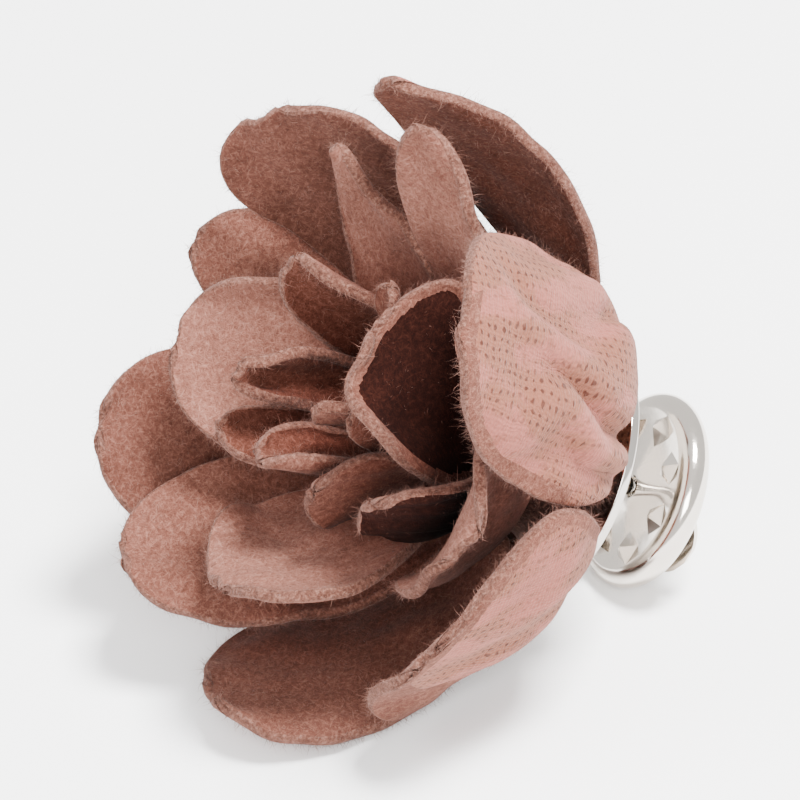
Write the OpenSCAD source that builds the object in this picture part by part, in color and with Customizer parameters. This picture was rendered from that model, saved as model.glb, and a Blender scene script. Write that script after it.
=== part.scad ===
// Flower lapel pin: a layered felt flower on a thin metal disc with a post, and a butterfly clutch.
// The flower is drawn about its own axis, +Z out of the disc, and then laid down as it rests
// on a table, on the clutch's rim and its lower petals.

/* [Flower] */
// Radius that the petals' lengths and widths are shares of
flower_r = 20; // [17:0.5:23]
// Thickness of the felt
felt_t = 1.0; // [0.8:0.05:1.1]
// Gap between a petal's root and the core, and between the lowest petals and the disc
seat_gap = 0.3; // [0.2:0.05:0.4]
// Roundness of a petal's tip, from pointed to square
tip_blunt = 2.3; // [1.8:0.1:3]

/* [Core] */
// Radius of the core where it stands on the disc, as a share of flower_r
core_foot = 0.26; // [0.23:0.01:0.3]
// Radius of the core at its waist, as a share of flower_r
core_waist = 0.16; // [0.13:0.01:0.19]
// Radius of the core's top, as a share of flower_r
core_top = 0.05; // [0.03:0.01:0.07]
// Height of the core's waist, as a share of flower_r
core_waist_at = 0.2; // [0.15:0.01:0.25]
// Height of the core's top above the lowest petals, as a share of flower_r
core_rise = 0.435; // [0.4:0.005:0.455]

/* [Backing disc] */
// Diameter of the disc
disc_d = 16.4; // [13:0.2:18]
// Thickness of the disc
disc_t = 0.6; // [0.4:0.1:1]
// Gap between the disc and the glued core
glue_gap = 0.1; // [0.05:0.05:0.2]

/* [Post] */
// Diameter of the post
post_d = 1.1; // [0.8:0.1:1.5]
// Length of the post behind the disc
post_l = 9.6; // [8:0.2:12]
// Depth of the groove that the clutch grips
groove_depth = 0.2; // [0.1:0.05:0.25]
// Length of the groove
groove_l = 0.8; // [0.5:0.1:1.2]

/* [Clutch] */
// Diameter of the clutch
clutch_d = 12.2; // [11:0.2:13]
// Gap between the disc and the clutch, where the cloth goes
cloth_gap = 5.0; // [3:0.2:6]
// Depth of the clutch's rim
rim_depth = 2.0; // [1.6:0.1:2.5]
// Thickness of the clutch's sheet metal
sheet_t = 0.4; // [0.3:0.05:0.6]
// Radial clearance of the post in the clutch
bore_clear = 0.08; // [0.05:0.01:0.1]
// Number of raised points on the clutch's face
stud_count = 8; // [5:1:8]
// Radius of the circle that they stand on
stud_ring_r = 4.1; // [3.6:0.1:4.2]
// Width of a raised point
stud_w = 1.5; // [1:0.1:1.8]
// Height of a raised point
stud_h = 0.55; // [0.3:0.05:0.8]
// Length of a wing
wing_l = 4.0; // [3:0.2:5]
// Width of a wing
wing_w = 5.4; // [4:0.2:6]
// Angle that a wing stands up from the clutch
wing_rise = 40; // [25:1:55]
// Turn of the clutch about the post
clutch_turn = 62; // [45:1:80]

/* [Lying pose] */
// Angle of the flower's axis above the table
lie_angle = 38; // [34:1:42]
// Turn of the flower about its axis
lie_turn = 6; // [2:1:12]

/* [Hidden] */
EPS = 0.01;
CIRCLE_FN = 96;

// Height of the lowest petals' midline above the disc
floor_h = felt_t / 2 + seat_gap;
// The core's sizes
core_foot_r = core_foot * flower_r;
core_waist_r = core_waist * flower_r;
core_top_r = core_top * flower_r;
core_waist_h = core_waist_at * flower_r;
core_h = core_rise * flower_r + floor_h;

// Each petal's columns. Lengths are shares of flower_r, angles are degrees.
COLUMNS = [
    "name",      // node name
    "az",        // direction of the petal round the axis
    "shift",     // sideways shift of its tip
    "skew",      // slope of its tip, sideways
    "root_h",    // height of its root on the core
    "belly_r",   // control point of its midline: radius
    "belly_h",   // and height
    "tip_r",     // tip of its midline: radius
    "tip_h",     // and height
    "width",     // width, measured across the felt
    "root_w",    // root's width as a share of that width
    "widest",    // where it is widest, as a share of its length
    "cup_root",  // half-angle that its section bends through, at the root
    "cup_tip",   // and at the tip
    "twist",     // turn of its section at the tip
    "roll_l",    // extra bend of its left edge
    "roll_r",    // extra bend of its right edge
    "curl",      // outward curl of its free end
    "blunt",     // how blunt its tip is, as a share of tip_blunt
];
PETALS = [
    ["outer_petal_1",  308,  .00,   .0,  .00,  .78, -.02,  .80,  .90,  .80,  .12,  .64,   25,   52,    0,    0,    0,   15,  1.1],
    ["outer_petal_2",  241, -.08,  -.1,  .00,  .80,  .00,  .77,  .56,  .95,  .12,  .70,   25,   40,    0,  -50,    0,   25,  .85],
    ["outer_petal_3",  174,  .12,   .0,  .00,  .76,  .00,  .98,  .72,  .68,  .10,  .72,  -30,   10,    0,    0,    0,    0,  1.0],
    ["outer_petal_4",  149,  .00,   .0,  .08,  .55,  .24,  .93,  .93,  .63,  .15,  .65,    0,   15,    0,    0,    0,    0,  1.0],
    ["outer_petal_5",  122,  .00,   .0,  .00,  .77,  .05,  1.0,  .99,  .70,  .10,  .74,    0,   10,    5,    0,    0,    0,  1.0],
    ["outer_petal_6",   85,  .00,   .0,  .00,  .70,  .10,  .98,  .88,  .43,  .12,  .70,    0,   15,   14,    0,    0,    0,  1.0],
    ["outer_petal_7",   53,  .00,   .3,  .10,  .63,  .18,  .95,  .95,  .58,  .12,  .78,   10,   20,    0,    0,    0,    0,  1.3],
    ["outer_petal_8", 19.5, -.18,  .45,  .00, .775,  .02,  .92,  .93,  .50,  .12,  .64,    0,    2,   12,    0,    0,    0,   .8],
    ["middle_petal_1", 102.5,  .00,   .0,  .20,  .41,  .42,  .72,  .94, .575,  .12,  .70,   10,   25,    0,    0,    0,    0,  1.0],
    ["middle_petal_2",   47, -.16,   .0,  .25,  .42,  .41,  .73,  .86,  .42,  .12,  .52,   40,   55,    0,    0,    0,    0,  .55],
    ["middle_petal_3",  348,  .15,   .2,  .20,  .42,  .48,  .84,  .86,  .34,  .18,  .54,   10,   20,   40,    0,    0,    0,  .85],
    ["middle_petal_4",  328,  .00,   .0,  .15,  .52,  .18,  .73,  .71,  .24,  .16,  .60,   20,   30,    0,    0,    0,    0,  1.0],
    ["middle_petal_5",  258,  .00,   .2,  .16,  .53,  .20,  .54,  .69,  .69,  .12,  .60,   20,   45,    0,    0,    0,   70,  1.0],
    ["middle_petal_6",  179,  .04,   .0,  .26,  .43,  .47,  .64,  .86,  .66,  .12,  .70,    0,   20,    0,    0,    0,    0,   .9],
    ["middle_petal_7",  289,  .20, -.42,  .28,  .29,  .40,  .24,  .82,  .55,  .14,  .78,  -10,  -40,    0,    0,    0,   10,  1.0],
    ["middle_petal_8",  246,  .00,   .0,  .22,  .43,  .34,  .44,  .70, .385,  .14,  .68,   10,   15,  -25,    0,    0,    0,  1.0],
    ["inner_petal_1",   48,  .00,   .0,  .32,  .33,  .46,  .39,  .91,  .35,  .20,  .60,   40,   70,    0,    0,    0,    0,  1.0],
    ["inner_petal_2",   90,  .06,   .0,  .43, .355,  .56,  .18,  .97, .232,  .14,  .70,   55,   85,    0,    0,    0,    0,  1.0],
    ["inner_petal_3",  218,    0,   .0,  .46,  .05,  .56,  .06,  .80,  .15,  .25,  .70,    0,   10,    0,    0,    0,    0,  1.0],
    ["inner_petal_4",  172,  .00,   .0,  .41,  .23,  .56,  .25,  .88,  .26,  .20,  .65,   50,  100,    0,    0,    0,    0,  1.0],
    ["inner_petal_5", 138.5,  .00,   .0,  .32,  .29,  .50,  .36,  .93, .235,  .20,  .60,   20,   40,    0,    0,    0,    0,  1.0],
    ["inner_petal_6",  266,  .00,   .0,  .42, .137,  .51, .137,  .74, .185,  .20,  .60,   10,   40,    0,    0,    0,    0,  1.0],
    ["inner_petal_7",  206,  .00,  -.3,  .34,  .22,  .44,  .29,  .75,  .32,  .20,  .70,    0,   10,   50,    0,    0,    0,   .8],
    ["inner_petal_8",  350,  .00,   .0,  .32,  .26,  .51,  .29,  .82,  .20,  .20,  .60,   30,   50,    0,    0,    0,   60,  1.0],
];

// A petal's mesh: stations along it and steps across it
ALONG = 7;
ACROSS = 8;
// Share of a petal's length past which its end curls, and of its half-width past which an edge rolls
CURL_FROM = 0.6;
ROLL_FROM = 0.45;
// How far round the tip's outline the last station lies, degrees
LAST_STATION = 84;

// A petal's value in the column of that name
function col(p, name) = p[search([name], COLUMNS)[0]];

function mix(a, b, t) = a + (b - a) * t;

// End of a curve of length s that starts in direction a and ends in direction b
function arc_end(a, b, s) =
    abs(b - a) < EPS ? [s * cos(a), s * sin(a)]
    : let (k = s * 180 / PI / (b - a)) [k * (sin(b) - sin(a)), k * (cos(a) - cos(b))];

// Radius of the core at height h above the disc. A petal over its top stands on the axis.
function core_r(h) =
    h > core_h ? -seat_gap - felt_t / 2
    : lookup(h, [[0, core_foot_r], [core_waist_h, core_waist_r], [core_h, core_top_r]]);

// Share of a petal's length at station k, from 0 to 1. Stations crowd towards the tip.
function station(p, k) =
    k < 0.5 ? col(p, "widest") * 2 * k
    : col(p, "widest") + (1 - col(p, "widest")) * sin(LAST_STATION * (2 * k - 1));

// Share of a petal's width at share t of its length
function outline(p, t) =
    t < col(p, "widest") ? mix(col(p, "root_w"), 1, sin(90 * t / col(p, "widest")))
    : let (e = tip_blunt * col(p, "blunt")) pow(max(1 - pow((t - col(p, "widest")) / (1 - col(p, "widest")), e), 0), 1 / e);

// Control points of a petal's midline, as [radius, height]
function belly(p) = [col(p, "belly_r") * flower_r, col(p, "belly_h") * flower_r + floor_h];
function tip(p) = [col(p, "tip_r") * flower_r, col(p, "tip_h") * flower_r + floor_h];
function root(p) =
    let (h = col(p, "root_h") * flower_r + floor_h)
    let (lean = atan2(belly(p)[1] - h, belly(p)[0] - core_r(h)))
    let (low_h = h > core_h ? h : h - felt_t / 2 * cos(lean))
    [core_r(low_h) + seat_gap + felt_t / 2 * abs(sin(lean)), h];

// Midline of a petal at t, before its end curls, and its direction there
function midline(p, t) = (1 - t) * (1 - t) * root(p) + 2 * (1 - t) * t * belly(p) + t * t * tip(p);
function slope(p, t) =
    let (d = (1 - t) * (belly(p) - root(p)) + t * (tip(p) - belly(p)))
    atan2(d[1], d[0]);

// How far the curled end has turned, as a share, and how far the curl moves it
function curled(t) = max(t - CURL_FROM, 0) / (1 - CURL_FROM);
function curl_shift(p, t) =
    let (a = slope(p, CURL_FROM))
    let (s = 2 * (1 - CURL_FROM) * norm(tip(p) - belly(p)) * curled(t))
    arc_end(a, a - col(p, "curl") * curled(t), s) - arc_end(a, a, s);

// Section of a petal at t, as [across, up], at v from -1 to 1 across it
function section(p, t, v) =
    let (half = col(p, "width") * flower_r / 2)
    let (x = abs(v) * outline(p, t) * half)
    let (cup = mix(col(p, "cup_root"), col(p, "cup_tip"), t))
    let (roll = (v > 0 ? col(p, "roll_r") : col(p, "roll_l")) * t)
    let (flat_x = min(x, ROLL_FROM * half))
    let (over = max(x - ROLL_FROM * half, 0))
    let (a = cup * flat_x / half)
    let (b = cup * x / half + roll * over / (half * (1 - ROLL_FROM)))
    let (end = arc_end(0, a, flat_x) + arc_end(a, b, over))
    [sign(v) * end[0], end[1]];

// Point of a petal's middle surface
function felt_point(p, k, v) =
    let (t = station(p, k))
    let (m = midline(p, t) + curl_shift(p, t))
    let (a = slope(p, t) - col(p, "curl") * curled(t))
    let (q = section(p, t, v))
    let (turn = col(p, "twist") * t)
    let (across = q[0] * cos(turn) - q[1] * sin(turn))
    let (up = q[0] * sin(turn) + q[1] * cos(turn))
    let (slide = col(p, "skew") * across * t * t)
    let (r = m[0] - up * sin(a) + slide * cos(a))
    let (s = across + col(p, "shift") * flower_r * t * t)
    [r * cos(col(p, "az")) - s * sin(col(p, "az")), r * sin(col(p, "az")) + s * cos(col(p, "az")), m[1] + up * cos(a) + slide * sin(a)];

function felt_grid(p) =
    [for (i = [0 : ALONG]) [for (j = [0 : ACROSS]) felt_point(p, i / ALONG, 2 * j / ACROSS - 1)]];

// Direction square to the middle surface at a grid point
function felt_normal(g, i, j) =
    let (du = g[min(i + 1, ALONG)][j] - g[max(i - 1, 0)][j])
    let (dv = g[i][min(j + 1, ACROSS)] - g[i][max(j - 1, 0)])
    let (n = cross(du, dv))
    n / norm(n);

// The two faces of the felt, each half its thickness from the middle surface
function felt_face(g, side) =
    [for (i = [0 : ALONG]) for (j = [0 : ACROSS]) g[i][j] + side * felt_t / 2 * felt_normal(g, i, j)];
function petal_points(p) = let (g = felt_grid(p)) concat(felt_face(g, 1), felt_face(g, -1));

// The petal mesh's triangles, the same for every petal
STEP = ACROSS + 1;
BACK = (ALONG + 1) * STEP;
FACE_SQUARES = [for (i = [0 : ALONG - 1]) for (j = [0 : ACROSS - 1]) i * STEP + j];
RIM = concat(
    [for (j = [0 : ACROSS]) j],
    [for (i = [1 : ALONG]) i * STEP + ACROSS],
    [for (j = [ACROSS - 1 : -1 : 0]) ALONG * STEP + j],
    [for (i = [ALONG - 1 : -1 : 1]) i * STEP]
);
PETAL_FACES = concat(
    [for (a = FACE_SQUARES) [a, a + 1, a + STEP + 1]],
    [for (a = FACE_SQUARES) [a, a + STEP + 1, a + STEP]],
    [for (a = FACE_SQUARES) [BACK + a, BACK + a + STEP + 1, BACK + a + 1]],
    [for (a = FACE_SQUARES) [BACK + a, BACK + a + STEP, BACK + a + STEP + 1]],
    [for (n = [0 : len(RIM) - 1]) [RIM[n], BACK + RIM[(n + 1) % len(RIM)], RIM[(n + 1) % len(RIM)]]],
    [for (n = [0 : len(RIM) - 1]) [RIM[n], BACK + RIM[n], BACK + RIM[(n + 1) % len(RIM)]]]
);

// Flat ring between the post's hole and the wings' feet
foot_ring = 1;
// How far the spring plate's edge stays inside the flat of the face
plate_inset = 0.2;
// Clutch sizes, from its face at height 0 down to its wings
bore_r = post_d / 2 + bore_clear;
rim_r = rim_depth / 2;
plate_r = clutch_d / 2 - rim_r - plate_inset;
plate_top = -sheet_t - glue_gap;
plate_back = plate_top - sheet_t;
wing_foot = bore_r + foot_ring;
clutch_face_h = -disc_t - cloth_gap;
// The groove that the clutch grips starts just short of its face, and the post tapers from there on
groove_lead = 0.1;

// The flower's frame, laid on the table: where a point goes, before it is moved to the origin
function laid(q) =
    let (x = q[0] * cos(lie_turn) - q[1] * sin(lie_turn), y = q[0] * sin(lie_turn) + q[1] * cos(lie_turn))
    [x * sin(lie_angle) - q[2] * cos(lie_angle), y, x * cos(lie_angle) + q[2] * sin(lie_angle)];

// Furthest points of a ring round the flower's axis, laid down: r and h are its radius and height,
// and round is the radius of its own section
function ring_ends(r, h, round = 0) =
    let (c = laid([0, 0, h]))
    [for (s = [-1, 1]) c + s * r * [sin(lie_angle), 1, cos(lie_angle)] + s * round * [1, 1, 1]];

REACH = concat(
    [for (p = PETALS) for (q = petal_points(p)) laid(q)],
    ring_ends(disc_d / 2, 0),
    ring_ends(disc_d / 2, -disc_t),
    ring_ends(clutch_d / 2 - rim_r, clutch_face_h - rim_r, rim_r)
);
function low(i) = min([for (q = REACH) q[i]]);
function high(i) = max([for (q = REACH) q[i]]);
REST = [(low(0) + high(0)) / 2, (low(1) + high(1)) / 2, low(2)];

module lay_down() {
    translate(-REST) rotate([0, lie_angle - 90, 0]) rotate([0, 0, lie_turn]) children();
}

// One felt petal
module petal(p) {
    lay_down() color("rosybrown") polyhedron(petal_points(p), PETAL_FACES, convexity = 6);
}

// The round core that the petals are glued to
module flower_core() {
    lay_down() color("saddlebrown") rotate_extrude($fn = CIRCLE_FN) polygon([
        [0, glue_gap],
        [core_foot_r, glue_gap],
        [core_waist_r, core_waist_h],
        [core_top_r, core_h],
        [0, core_h]
    ]);
}

// The metal disc behind the flower, with the post soldered to it
module disc_and_post() {
    post_r = post_d / 2;
    groove_top = clutch_face_h + groove_lead;
    lay_down() color("silver") rotate_extrude($fn = CIRCLE_FN) polygon([
        [0, 0],
        [disc_d / 2, 0],
        [disc_d / 2, -disc_t],
        [post_r, -disc_t],
        [post_r, groove_top],
        [post_r - groove_depth, groove_top],
        [post_r - groove_depth, groove_top - groove_l],
        [post_r - groove_depth / 2, groove_top - groove_l],
        [0, -disc_t - post_l]
    ]);
}

// Places the clutch's own frame, its face at height 0, behind the disc
module at_clutch() {
    lay_down() translate([0, 0, clutch_face_h]) rotate([0, 0, clutch_turn]) children();
}

// Half-round rolled rim of the clutch, as a section
module rim_section() {
    intersection() {
        translate([clutch_d / 2 - rim_r, -rim_r]) difference() {
            circle(r = rim_r, $fn = 48);
            circle(r = rim_r - sheet_t, $fn = 48);
        }
        translate([clutch_d / 2 - rim_r, -rim_depth]) square([rim_r, rim_depth]);
    }
}

// The clutch's round face with its rolled rim, the post's hole and the raised points
module clutch_cap() {
    at_clutch() color("silver") {
        rotate_extrude($fn = CIRCLE_FN) {
            rim_section();
            translate([bore_r, -sheet_t]) square([clutch_d / 2 - rim_r - bore_r + EPS, sheet_t]);
        }
        for (i = [0 : stud_count - 1])
            rotate([0, 0, (i + 0.5) * 360 / stud_count])
                translate([stud_ring_r, 0, -EPS])
                    cylinder(h = stud_h, r1 = stud_w / sqrt(2), r2 = 0, $fn = 4);
    }
}

// One wing: a strip with a round end that stands up from the spring plate
module wing() {
    straight = wing_l - wing_w / 2;
    translate([wing_foot, 0, plate_back])
        rotate([0, wing_rise, 0])
            linear_extrude(sheet_t) intersection() {
                union() {
                    translate([0, -wing_w / 2]) square([straight + EPS, wing_w]);
                    translate([straight, 0]) circle(d = wing_w, $fn = 48);
                }
                translate([0, -wing_w / 2]) square([wing_l, wing_w]);
            }
}

// The spring plate inside the clutch, with its two wings
module clutch_wings() {
    at_clutch() color("silver") difference() {
        union() {
            translate([0, 0, plate_back]) cylinder(r = plate_r, h = sheet_t, $fn = CIRCLE_FN);
            wing();
            rotate([0, 0, 180]) wing();
        }
        translate([0, 0, plate_back - wing_l]) cylinder(r = bore_r, h = 2 * wing_l, $fn = CIRCLE_FN);
    }
}

for (p = PETALS) petal(p);
flower_core();
disc_and_post();
clutch_cap();
clutch_wings();
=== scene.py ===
"""Looks for the flower lapel pin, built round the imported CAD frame."""

import math

import bmesh
import bpy
import numpy as np
from mathutils import Matrix, Vector, noise
from mathutils.bvhtree import BVHTree
from mathutils.kdtree import KDTree


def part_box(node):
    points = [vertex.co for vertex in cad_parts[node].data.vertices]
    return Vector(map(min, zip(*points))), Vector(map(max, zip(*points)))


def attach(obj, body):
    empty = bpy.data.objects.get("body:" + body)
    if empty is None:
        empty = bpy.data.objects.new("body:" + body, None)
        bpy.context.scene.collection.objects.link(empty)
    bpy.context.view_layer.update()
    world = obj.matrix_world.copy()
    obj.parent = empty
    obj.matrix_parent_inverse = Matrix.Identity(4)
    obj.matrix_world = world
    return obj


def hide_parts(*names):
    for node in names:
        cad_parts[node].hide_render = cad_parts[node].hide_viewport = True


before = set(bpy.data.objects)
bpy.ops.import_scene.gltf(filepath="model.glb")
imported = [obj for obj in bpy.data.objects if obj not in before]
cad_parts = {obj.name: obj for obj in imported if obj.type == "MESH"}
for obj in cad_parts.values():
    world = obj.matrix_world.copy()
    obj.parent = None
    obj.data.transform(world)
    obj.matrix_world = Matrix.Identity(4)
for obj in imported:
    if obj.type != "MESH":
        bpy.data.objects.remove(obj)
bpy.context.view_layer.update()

MM = 0.001

# Sizes shared with the part's source, in millimetres and degrees
FLOWER_R = 20.0
FELT_T = 1.0
SEAT_GAP = 0.3
TIP_BLUNT = 2.3
CORE = ((0.0, 5.2), (4.0, 3.2), (9.5, 1.0))
DISC_R = 8.2
DISC_T = 0.6
POST_R = 0.55
POST_L = 9.6
LAST_STATION = 84.0
GROOVE_DEPTH = 0.2
GROOVE_L = 0.8
GROOVE_LEAD = 0.1
CLUTCH_R = 6.1
CLOTH_GAP = 5.0
RIM_R = 1.0
SHEET_T = 0.4
BORE_R = 0.63
STUDS = 8
STUD_RING_R = 4.1
STUD_W = 1.5
STUD_H = 0.55
WING_L = 4.0
WING_W = 5.4
WING_RISE = 40.0
FOOT_RING = 1.0
PLATE_GAP = 0.1
PLATE_INSET = 0.2
CLUTCH_TURN = 62.0
LIE_ANGLE = 38.0
LIE_TURN = 6.0
CURL_FROM = 0.6
ROLL_FROM = 0.45
FLOOR_H = FELT_T / 2 + SEAT_GAP

# Felt shown thinner than the CAD wall, so that its nap and its rounded edge stay inside
SHOWN_T = 0.74
# Rounding of the cut edge
ROUNDING = 0.2
# Height of the lowest point of felt over the table
RESTING = 0.02

# Spaces across and along a petal's mesh: how many to a millimetre of its width, the fewest and the most
ACROSS = (5.0, 36, 80)
ALONG = (4.6, 44, 76)
# How much longer the rows' spaces are at the ends, and how closely the columns draw together at the sides
ROWS_EASE = 0.12
SIDES_EASE = 0.97
# Points between two points of the outline, where the distance to the edge is measured
RIM_STEPS = 8
# Spaces along and across a petal in the plain grid that its neighbours measure their room to
PLAIN = (21, 18)
# Slow dents and finer unevenness of the cloth: waves to a millimetre
DENT_SCALE = 0.16
FINE_SCALE = 0.45
# How far the ruffles reach in from the edge
LIP_W = 2.8
# Width over which the ribs fade out at the edge
RIB_FADE = 1.5
# The share of the room before the next petal that a petal may use, and the least that it always has
ROOM_SHARE = 0.45
ROOM_LEAST = 0.015
# Steps over which sudden changes of room are evened out
EVEN_STEPS = 4
# Wander of a petal's sides: waves along its length, and its most as a share of the half-width
WANDER_WAVES = 5.0
WANDER_SHARE = 0.25
# How far the middle of the cut edge stands out, and its wobble round a petal: height, waves and start
EDGE_OUT = 0.07
EDGE_WOBBLE = ((0.03, 37, 3), (0.02, 91, 0))

# Shade painted into the gaps: how shut in each face is, measured at GRID_N points along and across it, from
# LOOK_FROM above the middle surface, in RAYS directions as far as REACH. Felt that is FADE away would count as
# open.
GRID_N = 15
LOOK_FROM = 0.45
RAYS = 36
REACH = 14.0
FADE = 18.0

# Fibres to a square millimetre of felt and to a millimetre of its edge
NAP = 17.0
RIM = 42.0
# The share of the nap that the bud's fronts, the backs painted dark as shade and the other backs have
BUD_NAP = 0.35
DARK_NAP = 0.06
BACK_NAP = 0.30
# A fibre's reach along its direction and its bend aside, at its middle and its tip, as shares of its length
FIBRE_MID = (0.5, 0.10)
FIBRE_TIP = (0.92, 0.38)
# How much the nap stands up, least and most, and how few fibres stand up far
NAP_STAND = (0.06, 0.76, 2.5)
# How far the fibres of a cut edge fan out to its two faces, in radians, and how much they stray
RIM_FAN = 1.4
RIM_STRAY = 0.6
# Rows at a petal's root that have no fibres on their edge
BARE_ROWS = 3
# Shortest, longest and width of the fibres on fronts, on backs and on cut edges
FIBRES = {"front": (0.20, 0.75, 0.019), "back": (0.15, 0.50, 0.016), "rim": (0.15, 0.95, 0.017)}

# Solder round the post's foot, as (out from the post, down from the disc)
SOLDER = ((0.45, 0.0), (0.16, 0.10), (0.02, 0.35), (0.0, 0.55))
# The groove's eased edge, as (depth, inward along the post)
GROOVE_EASE = ((0.0, -0.06), (0.04, 0.0), (GROOVE_DEPTH, 0.16))
DISC_ROUNDING = 0.12
# The raised bead round the clutch's hole, as (out from the hole, height), and the dish of the face outside it
BEAD = ((0.0, -0.10), (0.1, 0.02), (0.35, 0.03), (0.8, -0.05))
DISH = 0.13
DISH_STEPS = 26
# The clutch's rolled rim, in degrees from its outermost point, and its steps
ROLL_ARC = (84, -88)
ROLL_STEPS = 30
# A pressed ridge from the bead to the rim: where, how high and how wide
RIDGE_AT = 232
RIDGE_H = 0.10
RIDGE_W = 0.8
# A stud's four-sided rings from its skirt to near its point, as (share of its width, height)
STUD_RINGS = ((1.22, -0.20), (1.0, -0.06), (0.12, STUD_H * 0.94))
# Spaces along and across a wing, its bow along and across, and what its sheet loses at each face
WING_MESH = (22, 20)
WING_BOW = (0.35, 0.10)
WING_TRIM = 0.02

# The petals' table, from the part's source, ring by ring: lengths are shares of FLOWER_R, angles are degrees
COLUMNS = """az shift skew root_h belly_r belly_h tip_r tip_h width root_w widest cup_root cup_tip
             blunt twist curl roll""".split()
# A row that ends early is as usual in its last columns
USUAL = {"blunt": 1.0, "twist": 0, "curl": 0, "roll": 0}
PETALS = {
    "outer": [
        (308, 0, 0, 0, .78, -.02, .8, .9, .8, .12, .64, 25, 52, 1.1, 0, 15),
        (241, -.08, -.1, 0, .8, 0, .77, .56, .95, .12, .7, 25, 40, .85, 0, 25, -50),
        (174, .12, 0, 0, .76, 0, .98, .72, .68, .1, .72, -30, 10),
        (149, 0, 0, .08, .55, .24, .93, .93, .63, .15, .65, 0, 15),
        (122, 0, 0, 0, .77, .05, 1, .99, .7, .1, .74, 0, 10, 1, 5),
        (85, 0, 0, 0, .7, .1, .98, .88, .43, .12, .7, 0, 15, 1, 14),
        (53, 0, .3, .1, .63, .18, .95, .95, .58, .12, .78, 10, 20, 1.3),
        (19.5, -.18, .45, 0, .775, .02, .92, .93, .5, .12, .64, 0, 2, .8, 12),
    ],
    "middle": [
        (102.5, 0, 0, .2, .41, .42, .72, .94, .575, .12, .7, 10, 25),
        (47, -.16, 0, .25, .42, .41, .73, .86, .42, .12, .52, 40, 55, .55),
        (348, .15, .2, .2, .42, .48, .84, .86, .34, .18, .54, 10, 20, .85, 40),
        (328, 0, 0, .15, .52, .18, .73, .71, .24, .16, .6, 20, 30),
        (258, 0, .2, .16, .53, .2, .54, .69, .69, .12, .6, 20, 45, 1, 0, 70),
        (179, .04, 0, .26, .43, .47, .64, .86, .66, .12, .7, 0, 20, .9),
        (289, .2, -.42, .28, .29, .4, .24, .82, .55, .14, .78, -10, -40, 1, 0, 10),
        (246, 0, 0, .22, .43, .34, .44, .7, .385, .14, .68, 10, 15, 1, -25),
    ],
    "inner": [
        (48, 0, 0, .32, .33, .46, .39, .91, .35, .2, .6, 40, 70),
        (90, .06, 0, .43, .355, .56, .18, .97, .232, .14, .7, 55, 85),
        (218, 0, 0, .46, .05, .56, .06, .8, .15, .25, .7, 0, 10),
        (172, 0, 0, .41, .23, .56, .25, .88, .26, .2, .65, 50, 100),
        (138.5, 0, 0, .32, .29, .5, .36, .93, .235, .2, .6, 20, 40),
        (266, 0, 0, .42, .137, .51, .137, .74, .185, .2, .6, 10, 40),
        (206, 0, -.3, .34, .22, .44, .29, .75, .32, .2, .7, 0, 10, .8, 50),
        (350, 0, 0, .32, .26, .51, .29, .82, .2, .2, .6, 30, 50, 1, 0, 60),
    ],
}

# How each petal's cloth is worked, beyond its main form, in millimetres where it is a height. ribs: pressed
# ribs across it, how tall, how slanted. waves: ruffles along its edge, how many, how tall. soft: height of the
# slow dents. uneven: how far its sides wander. The rows are in the petals' order.
LOOKS = "ribs rib_h slant waves wave_h soft uneven".split()
CLOTH = [
    # outer
    (3.4, 1.20, .55, 3.0, .30, .35, .6),
    (3.0,  .40, .50, 2.5, .25, .35, .5),
    (2.5,  .12,  .3, 2.6, .55, .60, .6),
    (2.5,  .15,  .3, 3.2, .60, .70, .6),
    (2.0,  .12,  .3, 2.4, .45, .60, .5),
    (2.0,  .12,  .3, 2.5, .45, .50, .4),
    (2.5,  .12,  .3, 2.2, .50, .60, .6),
    (2.0,  .12,  .3, 2.5, .35, .40, .5),
    # middle
    (2.0,  .12,  .3, 2.8, .55, .55, .5),
    (1.5,  .04,  .2, 3.0, .50, .35, .5),
    (1.5,  .04,  .2, 2.6, .45, .35, .4),
    (1.5,  .08,  .2, 2.0, .15, .15, .2),
    (2.0,  .12,  .2, 3.0, .50, .40, .5),
    (2.0,  .12,  .3, 2.4, .55, .60, .5),
    (2.0,  .14,  .4, 3.2, .70, .45, .6),
    (3.0,  .25,  .4, 3.0, .35, .25, .3),
    # inner
    (2.0,  .12,  .2, 3.0, .35, .30, .3),
    (2.0,  .10,  .2, 3.6, .35, .30, .3),
    *((1.0, .02, .2, 3.0, *heights, .3) for heights in
      ((.25, .20), (.30, .20), (.30, .25), (.20, .15), (.30, .25), (.20, .15))),
]

# Strips of napped felt that show on a petal's back near its edge: how wide in millimetres, from which share of
# the length they run, and up to which share of the half-width across, -1 left and 1 right
TURNED = {
    "outer_petal_1": [(1.0, 0.50, 0.30)],
    "outer_petal_2": [(0.9, 0.30, 1.00), (9.0, 0.25, -0.52)],
    "middle_petal_7": [(0.7, 0.20, 1.00)],
}

# The camera's right, up and back in the flower's own frame, its distance, the width that it sees, and where the
# disc's middle is in the picture, right and down from the middle, as shares of half its width
CAM_RIGHT = (0.406, -0.386, -0.828)
CAM_UP = (0.886, 0.388, 0.253)
CAM_BACK = (0.224, -0.837, 0.500)
CAM_DIST = 350.0
VIEW_MM = 48.2
DISC_AT = (0.385, 0.1575)
SENSOR = 36

# Softboxes: where, as (right, up, back) of the camera in metres from LIT_AT, a point of the flower's frame, how
# large and how strong. The studio's own white light is WORLD_LIGHT strong.
LIT_AT = (0, 0, 9)
LIGHTS = {
    "key": ((0.18, 0.50, 0.38), 0.20, 20.0),
    "fill_left": ((-0.50, 0.22, 0.25), 0.30, 1.4),
    "front": ((0.05, -0.02, 0.60), 0.25, 4.5),
}
WORLD_LIGHT = 1.5
# The floor's half-width and its height, just under what rests on it, in metres
FLOOR_HALF = 2.5
FLOOR_Z = -0.00002


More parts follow.
